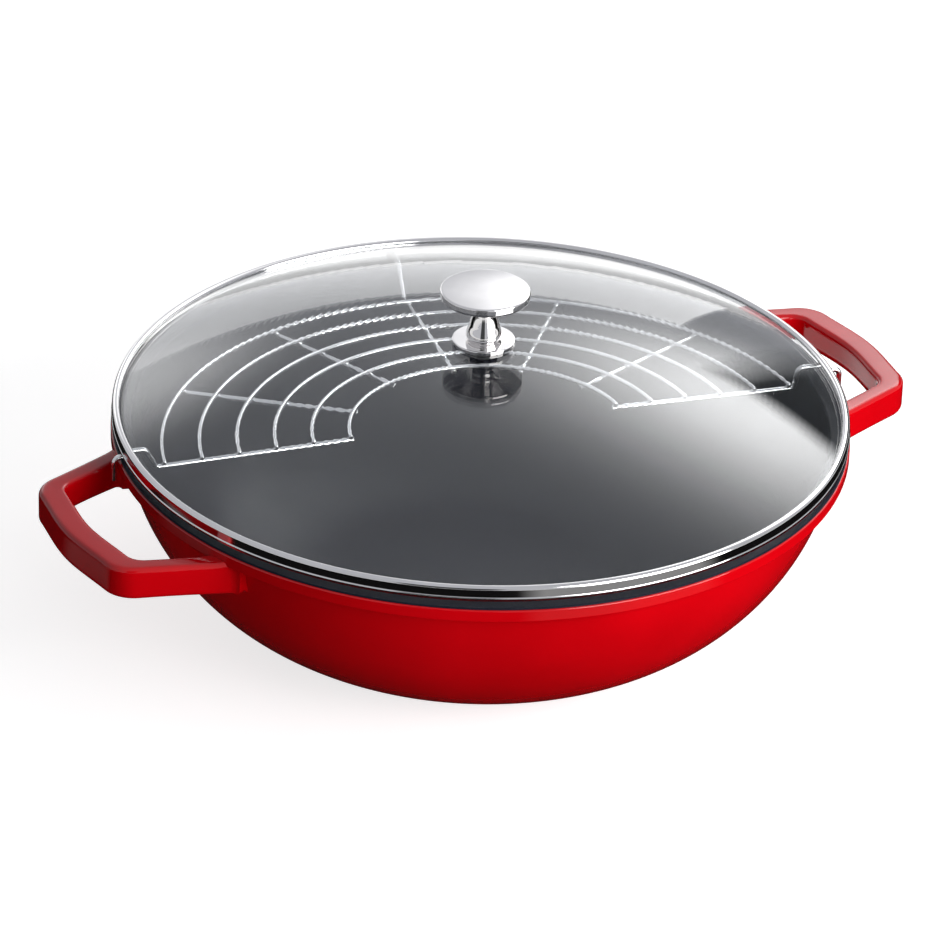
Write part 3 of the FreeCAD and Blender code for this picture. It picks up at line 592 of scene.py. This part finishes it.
def addWire(name, tube, node):
    addPiece(name, surface(name, tube, closeV=True), finish["wire"], "rack", "rack_wire", node)


for i in range(rack["arcs"]):
    r, centre = arcRadius(i), arcCentre(i)
    right, left = [barCrossing(i, side) - centre for side in (1, -1)]
    past = rack["arcOver"] / r
    a = np.linspace(math.atan2(right[1], right[0]) - past, math.atan2(left[1], left[0]) + past, 150)
    path = onRack(np.stack([centre[0] + r * np.cos(a), centre[1] + r * np.sin(a), 0 * a], 1))
    tube = wireTube(path, rack["arcWire"], rackUp, endRound=rack["arcEndRound"], capSteps=6)
    addWire("rackArc%d" % (i + 1), tube, "rack_arc_%d" % (i + 1))

for side, label in ((-1, "left"), (1, "right")):
    innerX = barCrossing(rack["arcs"] - 1, side)[0] - side * rack["barOver"]
    spots = (innerX, barOffset(innerX)), barCrossing(0, side)
    path, across = hookPath(*[onRack((*spot, underArcs)) for spot in spots], label)
    addWire("endBar" + label.capitalize(), wireTube(path, rack["frameWire"], across), "rack_end_bar_" + label)

for i in range(rack["spokes"]):
    (first, heading), (last, _) = spokeCrossing(i, rack["arcs"] - 1), spokeCrossing(i, 0)
    inner, crossing, outer = [onRack((*spot, underArcs)) for spot in
                              (first - heading * rack["spokeOver"], last, last + heading * rack["spokeOver"])]
    if i == rack["spokes"] // 2:
        path, across = hookPath(inner, crossing, "rear")
    else:
        path, across = inner + (outer - inner) * np.linspace(0, 1, 12)[:, None], rackUp
    addWire("rackSpoke%d" % (i + 1), wireTube(path, rack["frameWire"], across), "rack_spoke_%d" % (i + 1))


def weldNuggets():
    # a ball of melted steel at every crossing: radius times cos and sin of two angles, flattened
    weld = {"radius": 1.35, "flat": 0.62, "height": -0.95}
    low = weld["height"]
    spot = [(*barCrossing(i, side), low) for i in range(rack["arcs"]) for side in (-1, 1)]
    spot += [(*spokeCrossing(j, i)[0], low) for i in range(rack["arcs"]) for j in range(rack["spokes"])]
    turns, tilts = np.linspace(0, 2 * math.pi, 13), np.linspace(-math.pi / 2, math.pi / 2, 9)
    u, v = np.meshgrid(turns, tilts, indexing="ij")
    ball = np.stack([np.cos(v) * np.cos(u), np.cos(v) * np.sin(u), weld["flat"] * np.sin(v)], -1)
    return onRack(np.array(spot)[:, None, None] + (ball * weld["radius"])[None])


nuggets = bmesh.new()
for ball in weldNuggets():
    nuggets.from_mesh(surface("weldBall", ball))
weldMesh = bpy.data.meshes.new("rackWelds")
nuggets.to_mesh(weldMesh)
nuggets.free()
weldMesh.shade_smooth()
addPiece("rackWelds", weldMesh, finish["wire"], "rack", "rack_wire")
print("rack built")


lid = {"glass": 4.0, "bandInset": 0.2, "edgeInset": 1.3, "hole": 4.2, "rise": 30.7, "sheet": 0.8,
       "bead": 1.65, "glassGap": 0.03, "height": 5.1, "hemHeight": 2.2, "hemProud": 0.3,
       "bottomRound": 0.9, "foot": 2.2, "seamAngle": 95, "seamWidth": 0.3, "seamDepth": 0.35,
       "segments": 360, "glassSegments": 288}
bandOuter = lipOuter - lid["bandInset"]
glassEdge = bandOuter - lid["edgeInset"]
bandBottom = hookTop + rack["frameWire"] / 2 + rack["seatGap"]
riseRadius = bandOuter - lid["hemProud"] - 2 * lid["bead"]
domeRadius = (riseRadius ** 2 + lid["rise"] ** 2) / (2 * lid["rise"])
domeApex = bandBottom + lid["height"] + lid["rise"]
domeCentre = domeApex - domeRadius


def domeZ(radius, depth=0.0):
    # height of the dome's face, or of one inside it: centre + square root of (R squared - r squared)
    return domeCentre + np.sqrt((domeRadius - depth) ** 2 - np.asarray(radius, float) ** 2)


def glassProfile():
    # outer face from the hole to the edge, inner face back again; both are arcs about one centre
    inner = domeRadius - lid["glass"]
    edgeAngle, hole = math.acos(glassEdge / domeRadius), lid["hole"]
    outerFace = arcPoints((0, domeCentre), domeRadius, math.acos(hole / domeRadius), edgeAngle, 60)
    innerFace = arcPoints((0, domeCentre), inner, edgeAngle, math.acos(hole / inner), 60)
    return holdEdges(np.concatenate([outerFace, innerFace]), 0.25, True)


def bandProfile():
    # rolled strip: half-round bead on the glass, upright face, hem that bulges a little, round bottom edge,
    # and a foot turned in under the glass; the hem is the arc through three points
    face = bandOuter - lid["hemProud"]
    skin, foot, lap = face - lid["sheet"], face - lid["foot"], riseRadius
    beadZ = float(domeZ(lap)) + lid["glassGap"]
    beadCentre = (lap + lid["bead"], beadZ)
    hemTop, hemLow = bandBottom + lid["hemHeight"], bandBottom + lid["bottomRound"]
    halfHem = (hemTop - hemLow) / 2
    hemRadius = (halfHem ** 2 + lid["hemProud"] ** 2) / (2 * lid["hemProud"])
    hemTurn = math.asin(halfHem / hemRadius)
    floor = bandBottom + lid["sheet"]
    small = lid["bottomRound"] - lid["sheet"]
    bead = arcPoints(beadCentre, lid["bead"], math.pi, 0, 26)
    hem = arcPoints((bandOuter - hemRadius, (hemTop + hemLow) / 2), hemRadius, hemTurn, -hemTurn, 12)
    edge = arcPoints((face - lid["bottomRound"], hemLow), lid["bottomRound"], 0, -math.pi / 2, 9)
    under = filletedLine([((foot, bandBottom), 0), ((foot, floor), 0), ((skin, floor), small),
                          ((skin, beadZ), 0)])
    hollow = arcPoints(beadCentre, lid["bead"] - lid["sheet"], 0, math.pi, 18)
    return holdEdges(np.concatenate([bead, hem, edge, under[:-1], hollow]), 0.1, True)


def bandSurface():
    # the strip turned about Z, its upright face sunk by the seam's depth over the seam's width
    centre = math.radians(lid["seamAngle"])
    top, low = float(domeZ(riseRadius)) + lid["glassGap"], bandBottom + lid["hemHeight"]
    half = lid["seamWidth"] / 2 / bandOuter
    extra = centre + half * np.array([-1.5, -1.0, -0.9, 0, 0.9, 1.0, 1.5])
    angles = np.sort(np.concatenate([evenTurn(lid["segments"]), extra]))
    points = turnProfile(bandProfile(), angles)
    inside = np.abs(angles - centre) < half * 0.95
    radius, z = np.linalg.norm(points[..., :2], axis=-1), points[..., 2]
    onFace = (radius > bandOuter - lid["hemProud"] - 0.1) & (z < top + 0.01) & (z > low - 0.01)
    sink = (inside[:, None] & onFace) * lid["seamDepth"]
    points[..., :2] *= (1 - sink / np.maximum(radius, 1))[..., None]
    return points


glassTurned = turnProfile(glassProfile(), evenTurn(lid["glassSegments"]))
addPiece("lidGlass", surface("lidGlass", glassTurned, closeU=True, closeV=True), finish["glass"],
         "lid", "lid_glass", "lid_glass")
addPiece("lidBand", surface("lidBand", bandSurface(), closeU=True, closeV=True), finish["band"],
         "lid", "band_steel", "lid_rim_band")

stack = {"gasket": 10.5, "gasketThick": 0.5, "disc": 13.2, "discThick": 1.0, "discRound": 0.4,
         "discRim": 1.4, "discGap": 0.05, "bore": 2.65, "underGasket": 9.6, "underThick": 1.5,
         "underRound": 0.3, "sleeveGap": 0.15, "washer": 8.0, "washerThick": 1.0, "washerRound": 0.25}
knob = {"cap": 18.9, "band": 3.9, "crown": 0.9, "underside": 18.9, "lowerRound": 1.3, "upperRound": 0.8,
        "foot": 6.9, "footRound": 0.4, "bulge": 7.6, "bulgeAt": 2.4, "neck": 4.6,
        "waist": ((0.36, 1.8), (0.62, 0.6), (0.8, 0.2), (0.93, 2.6)),  # share of the height, over the neck
        "bore": 2.5, "boreDepth": 13.0, "segments": 128}
gasketTop = domeApex + stack["gasketThick"]
discTop = gasketTop + stack["discThick"]
underBottom = domeApex - lid["glass"] - stack["underThick"]


def smoothCurve(points, count):
    # natural-looking curve through the points: Catmull-Rom, each span a cubic whose slope at a point is half
    # the difference of its two neighbours
    p = np.array(points, float)
    p = np.concatenate([2 * p[:1] - p[1:2], p, 2 * p[-1:] - p[-2:-1]])
    t = np.linspace(0, len(points) - 1, count)
    i = np.minimum(t.astype(int), len(points) - 2)
    f = (t - i)[:, None]
    a, b, c, d = p[i], p[i + 1], p[i + 2], p[i + 3]
    return 0.5 * (2 * b + (c - a) * f + (2 * a - 5 * b + 4 * c - d) * f ** 2
                  + (3 * b - a - 3 * c + d) * f ** 3)


def knobProfile():
    # foot, bulge, waist, flaring underside, rounded cap edge, a shallow spherical crown, then down the bore
    foot, under = discTop, discTop + knob["underside"]
    edge = under + knob["band"]
    underR, crownR = knob["cap"] - knob["lowerRound"], knob["cap"] - knob["upperRound"]
    waist = [(knob["neck"] + more, foot + knob["underside"] * share) for share, more in knob["waist"]]
    neck = smoothCurve([(knob["foot"], foot + knob["footRound"]), (knob["bulge"], foot + knob["bulgeAt"]),
                        *waist, (underR, under)], 90)
    rim = filletedLine([((underR - 0.1, under), 0), ((knob["cap"], under), knob["lowerRound"]),
                        ((knob["cap"], edge), knob["upperRound"]), ((crownR - 0.1, edge), 0)])[1:-1]
    rim = holdEdges(rim, 0.1)
    sphere = (crownR ** 2 + knob["crown"] ** 2) / (2 * knob["crown"])
    t = np.linspace(1, 0, 34)[1:] * crownR
    crown = np.stack([t, edge + knob["crown"] - sphere + np.sqrt(sphere ** 2 - t ** 2)], 1)
    head = np.array([[knob["bore"], foot], [knob["foot"] - knob["footRound"], foot]])
    bore = np.array([[0.0, foot + knob["boreDepth"]], [knob["bore"], foot + knob["boreDepth"]]])
    return np.concatenate([head, neck, rim, crown, bore])


def easedRing(corners):
    # closed section through the corners, its rounds held crisp
    return holdEdges(filletedLine(corners, True, 5), 0.06, True)


def washerProfile():
    # flat ring with its outer edges eased
    inner, outer, edge = stack["bore"], stack["washer"], stack["washerRound"]
    low = underBottom - stack["washerThick"]
    return easedRing([((inner, low), 0), ((outer, low), edge), ((outer, underBottom), edge),
                      ((inner, underBottom), 0)])


def discProfile():
    # thin disc whose edge turns down round the gasket and stops just short of the glass
    inner, outer, bore = stack["disc"] - stack["discRim"], stack["disc"], stack["bore"]
    low = float(domeZ(inner)) + stack["discGap"]
    return easedRing([((bore, gasketTop), 0), ((inner, gasketTop), 0), ((inner, low), 0), ((outer, low), 0),
                      ((outer, discTop), stack["discRound"]), ((bore, discTop), 0)])


def underGasketProfile():
    # washer that follows the glass above it, with a sleeve up through the hole
    sleeve, outer, edge = lid["hole"] - stack["sleeveGap"], stack["underGasket"], stack["underRound"]
    r = np.linspace(outer, sleeve, 8)
    seat = np.stack([r, domeZ(r, lid["glass"])], 1)
    top = float(domeZ(sleeve))
    return np.concatenate([[[stack["bore"], underBottom], [outer - edge, underBottom],
                            [outer, underBottom + edge]], seat, [[sleeve, top], [stack["bore"], top]]])


def upperGasketProfile():
    # flat on top, and below it follows the dome
    r = np.linspace(stack["bore"], stack["gasket"], 8)
    flatTop = [[stack["gasket"], gasketTop], [stack["bore"], gasketTop]]
    return np.concatenate([np.stack([r, domeZ(r)], 1), flatTop])


for name, profile, look, slot, node in (
        ("lidKnob", knobProfile(), "knob", "knob_steel", "lid_knob"),
        ("knobDisc", discProfile(), "knob", "knob_steel", "knob_escutcheon"),
        ("upperGasket", upperGasketProfile(), "rubber", "silicone", "upper_gasket"),
        ("lowerGasket", underGasketProfile(), "rubber", "silicone", "lower_gasket"),
        ("knobWasher", washerProfile(), "screw", "screw_steel", "knob_washer")):
    turned = turnProfile(profile, evenTurn(knob["segments"]))
    addPiece(name, surface(name, turned, closeU=True, closeV=True), finish[look], "lid", slot, node)

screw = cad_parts["knob_screw"]
screw.data.materials.clear()
screw.data.materials.append(finish["screw"])
print("lid built")


studio = {"floorReach": 12.0, "paper": 0.6, "paperGlow": 0.75, "skyColour": (0.88, 0.9, 0.96),
          "skySeen": 0.62, "skyLight": 0.15, "clothReach": 1.3, "clothOpen": 26, "clothTone": 0.006,
          "clothEdge": 0.27, "clothLit": ((122, 167, 0.3), (244, 264, 0.15)), "clothAbove": 0.0006,
          "flagColour": (0.9, 0.95, 1, 1)}


def backgroundRay(s):
    # one for rays that see the background: from the camera, off metal, or through glass
    path = s.add("LightPath").outputs
    seen = s.calc("MAXIMUM", path["Is Camera Ray"], path["Is Glossy Ray"])
    return s.calc("MAXIMUM", seen, path["Is Transmission Ray"])


def floorPaper():
    # white paper whose colour carries the background; the object's shadow stays on it
    s = Shader("floorPaper")
    grain = s.noise(s.place(), 40, 3)
    tone = studio["paper"]
    colour = s.mixColour(s.ramp(grain, 0.3, 0.7, 0, 1), (tone - 0.01,) * 3, (tone + 0.01,) * 3)
    paper = s.add("BsdfDiffuse", {"Color": colour}).outputs[0]
    glow = s.add("Emission", {"Strength": studio["paperGlow"]}).outputs[0]
    both = s.add("AddShader", {0: paper, 1: glow}).outputs[0]
    return s.finish(s.add("MixShader", {0: backgroundRay(s), 1: paper, 2: both}).outputs[0])


def overSky(s, strength):
    # light added to whatever is behind, so that a card's own edges don't show
    glow = s.add("Emission", {"Strength": strength}).outputs[0]
    return s.finish(s.add("AddShader", {0: s.add("BsdfTransparent").outputs[0], 1: glow}).outputs[0])


def darkCloth():
    # dark cloth on the floor that only reflections see. It is open straight behind the object, and it has lit
    # sectors further out: sector = rise past its first azimuth x fall before its last, in degrees clockwise
    s = Shader("darkCloth")
    reach = studio["clothReach"]
    centred = s.place("UV", (2 * reach, 2 * reach, 0), (-reach, -reach, 0))
    axis = s.add("SeparateXYZ", {"Vector": centred}).outputs
    away, right = s.calc("MULTIPLY", axis["Y"], -1.0), s.calc("MULTIPLY", axis["X"], -1.0)
    turn = s.calc("MULTIPLY", s.calc("ARCTAN2", right, away), 180 / math.pi)
    aside = s.calc("ABSOLUTE", turn)
    azimuth = s.calc("FLOORED_MODULO", turn, 360.0)
    far = s.add("VectorMath", {0: centred}, operation="LENGTH").outputs["Value"]
    out = s.ramp(far, studio["clothEdge"] - 0.02, studio["clothEdge"] + 0.02, 0, 1)
    level = studio["clothTone"]
    for first, last, strength in studio["clothLit"]:
        rise = s.ramp(azimuth, first - 3, first + 3, 0, 1)
        fall = s.ramp(azimuth, last - 3, last + 3, 1, 0)
        window = s.calc("MULTIPLY", s.calc("MULTIPLY", rise, fall), out)
        level = s.calc("MULTIPLY_ADD", window, strength, level)
    cloth = s.add("Emission", {"Strength": level}).outputs[0]
    opened = s.ramp(aside, studio["clothOpen"] - 4, studio["clothOpen"] + 4, 1, 0)
    faded = s.ramp(far, reach * 0.8, reach, 0, 1)
    clear = s.calc("MAXIMUM", opened, faded)
    bare = s.add("BsdfTransparent").outputs[0]
    return s.finish(s.add("MixShader", {0: clear, 1: cloth, 2: bare}).outputs[0])


def blackFlag(name):
    # dark card with soft edges: cover = the smallest of the distances to the card's sides, over the softness
    soft = cards[name]["soft"]
    s = Shader(name)
    axis = s.add("SeparateXYZ", {"Vector": s.add("TexCoord").outputs["UV"]}).outputs
    cover = 1.0
    for key in ("X", "Y"):
        for low, high in ((0, soft), (1, 1 - soft)):
            cover = s.calc("MINIMUM", cover, s.ramp(axis[key], low, high, 0, 1))
    dark = s.add("Emission", {"Color": studio["flagColour"], "Strength": cards[name]["tone"]}).outputs[0]
    bare = s.add("BsdfTransparent").outputs[0]
    return s.finish(s.add("MixShader", {0: cover, 1: bare, 2: dark}).outputs[0])


def glowFabric(name):
    # softbox cloth, brightest in the middle: peak x e to the minus half of (distance / spread) to twice the
    # power; the spread is given in metres and used as a share of the card
    look = cards[name]
    x, y = [look["spread"][i] / look["size"][i] for i in (0, 1)]
    s = Shader(name)
    centred = s.place("UV", (1 / x, 1 / y, 0), (-0.5 / x, -0.5 / y, 0))
    far = s.add("VectorMath", {0: centred}, operation="LENGTH").outputs["Value"]
    fade = s.calc("MULTIPLY", s.calc("POWER", far, 2 * look["power"]), -0.5)
    return overSky(s, s.calc("MULTIPLY", s.calc("EXPONENT", fade), look["peak"]))


def rampFabric(name):
    # lit card, its brightness going evenly from one side to the other
    s = Shader(name)
    across = s.add("SeparateXYZ", {"Vector": s.add("TexCoord").outputs["UV"]}).outputs["X"]
    return overSky(s, s.ramp(across, 0, 1, cards[name]["left"], cards[name]["right"]))


half = studio["floorReach"]
floorMesh = bpy.data.meshes.new("floor")
floorMesh.from_pydata([(-half, -half, 0), (half, -half, 0), (half, half, 0), (-half, half, 0)], [],
                      [(0, 1, 2, 3)])
floorMesh.materials.append(floorPaper())
floor = inScene("floor", floorMesh)

camera = {"azimuth": 29.659, "elevation": 28.391, "distance": 2.52068, "aimHeight": 0.096, "pan": 0.086,
          "tilt": -0.6517, "roll": -2.0538, "focalPixels": 6000, "picturePixels": 940, "sensor": 36.0,
          "farEnd": 100}
# columns that carry the camera's level frame (x right, y away, z up) into the object's
levelFrame = turnAbout(2, -camera["azimuth"])


def fromObject(azimuth, elevation):
    # direction from the object, its azimuth clockwise from straight behind as the camera sees it
    a, e = math.radians(azimuth), math.radians(elevation)
    return levelFrame @ np.array([math.sin(a) * math.cos(e), math.cos(a) * math.cos(e), math.sin(e)])


def placeCamera():
    # the camera stands at an elevation and distance on the level frame's -Y side, then pans, tilts and rolls
    e = math.radians(camera["elevation"])
    forward = np.array([0, math.cos(e), -math.sin(e)])
    rows = np.stack([[1.0, 0, 0], np.cross([1.0, 0, 0], forward), forward])
    turn = turnAbout(2, camera["roll"]) @ turnAbout(0, camera["tilt"]) @ turnAbout(1, camera["pan"])
    place = levelFrame @ (-forward * camera["distance"]) + [0, 0, camera["aimHeight"]]
    axes = levelFrame @ (turn @ rows).T
    matrix = np.eye(4)
    matrix[:3, 0], matrix[:3, 1], matrix[:3, 2], matrix[:3, 3] = axes[:, 0], axes[:, 1], -axes[:, 2], place
    data = bpy.data.cameras.new("studioCamera")
    data.sensor_width = camera["sensor"]
    data.lens = camera["focalPixels"] * camera["sensor"] / camera["picturePixels"]
    data.clip_end = camera["farEnd"]
    view = inScene("studioCamera", data)
    view.matrix_world = Matrix(matrix.tolist())
    bpy.context.scene.camera = view


sideKey = {"azimuth": 128, "elevation": 18, "distance": 1.5, "width": 1.3, "height": 1.1, "strength": 6.8,
           "aimHeight": 0.08}


def softbox(name, lamp):
    # square lamp that looks at the object from a direction given against the camera's level frame
    away = fromObject(lamp["azimuth"], lamp["elevation"])
    data = bpy.data.lights.new(name, "AREA")
    data.shape, data.size, data.size_y = "RECTANGLE", lamp["width"], lamp["height"]
    data.energy = lamp["strength"] * lamp["width"] * lamp["height"] * math.pi
    box = inScene(name, data)
    back = unit(away)
    side = unit(np.cross([0, 0, 1.0], back))
    matrix = np.eye(4)
    matrix[:3, 0], matrix[:3, 1], matrix[:3, 2] = side, np.cross(back, side), back
    matrix[:3, 3] = away * lamp["distance"] + [0, 0, lamp["aimHeight"]]
    box.matrix_world = Matrix(matrix.tolist())


# azimuth and elevation of each card from the object, and its shift within its own plane
cards = {
    "rearGlow": {"azimuth": 30, "elevation": 50, "distance": 0.8, "shift": (0.03, -0.304),
                 "size": (1.5, 1.2), "peak": 4.4, "spread": (0.219, 0.183), "power": 1.0},
    "leftGlow": {"azimuth": -34, "elevation": 17, "distance": 0.75, "size": (0.5, 0.5), "peak": 1.2,
                 "spread": (0.11, 0.11), "power": 1.2},
    "backCard": {"azimuth": -8, "elevation": 6, "distance": 1.2, "size": (0.95, 0.3), "left": 0.5,
                 "right": 1.2},
    "footCloth": {"azimuth": 180, "elevation": -90, "distance": camera["aimHeight"] - studio["clothAbove"],
                  "size": (2 * studio["clothReach"],) * 2, "unseenBy": ("diffuse", "shadow", "transmission")},
    "cameraFlag": {"azimuth": 187, "elevation": 16, "distance": 1.4, "size": (0.75, 1.0), "tone": 0.06,
                   "soft": 0.12, "unseenBy": ("diffuse", "shadow", "transmission")},
    "rightFlag": {"azimuth": 40, "elevation": 12, "distance": 0.62, "shift": (0.04, 0),
                  "size": (0.44, 0.27), "tone": 0.12, "soft": 0.15, "unseenBy": ("diffuse", "shadow")}}


def studioCard(name, material):
    # a card square to its direction from the object; the camera doesn't see it
    look = cards[name]
    a = math.radians(look["azimuth"])
    away = fromObject(look["azimuth"], look["elevation"])
    side = levelFrame @ np.array([math.cos(a), -math.sin(a), 0.0])
    up = np.cross(side, away)
    corner = np.array([[-1, -1], [1, -1], [1, 1], [-1, 1]]) * np.array(look["size"]) / 2
    corner = corner + look.get("shift", (0, 0))
    centre = away * look["distance"] + [0, 0, camera["aimHeight"]]
    points = centre + corner[:, :1] * side + corner[:, 1:] * up
    mesh = bpy.data.meshes.new(name)
    mesh.from_pydata(points.tolist(), [], [(0, 1, 2, 3)])
    mesh.uv_layers.new(name="card").data.foreach_set("uv", [0, 0, 1, 0, 1, 1, 0, 1])
    mesh.materials.append(material)
    card = inScene(name, mesh)
    card.visible_camera = False
    for ray in look.get("unseenBy", ()):
        setattr(card, "visible_" + ray, False)


def paintSky():
    # rays that see the background meet the pale sky, the others its gentler light
    s = Shader("studioSky", bpy.data.worlds.new("studioSky"))
    more = studio["skySeen"] - studio["skyLight"]
    strength = s.calc("MULTIPLY_ADD", backgroundRay(s), more, studio["skyLight"])
    sky = s.add("Background", {"Color": (*studio["skyColour"], 1), "Strength": strength}).outputs[0]
    bpy.context.scene.world = s.finish(sky)


placeCamera()
paintSky()
for name in ("rearGlow", "leftGlow"):
    studioCard(name, glowFabric(name))
studioCard("backCard", rampFabric("backCard"))
studioCard("footCloth", darkCloth())
for name in ("cameraFlag", "rightFlag"):
    studioCard(name, blackFlag(name))
softbox("sideKey", sideKey)
bpy.context.scene.view_settings.view_transform = "Standard"
print("floor, lights and camera set")
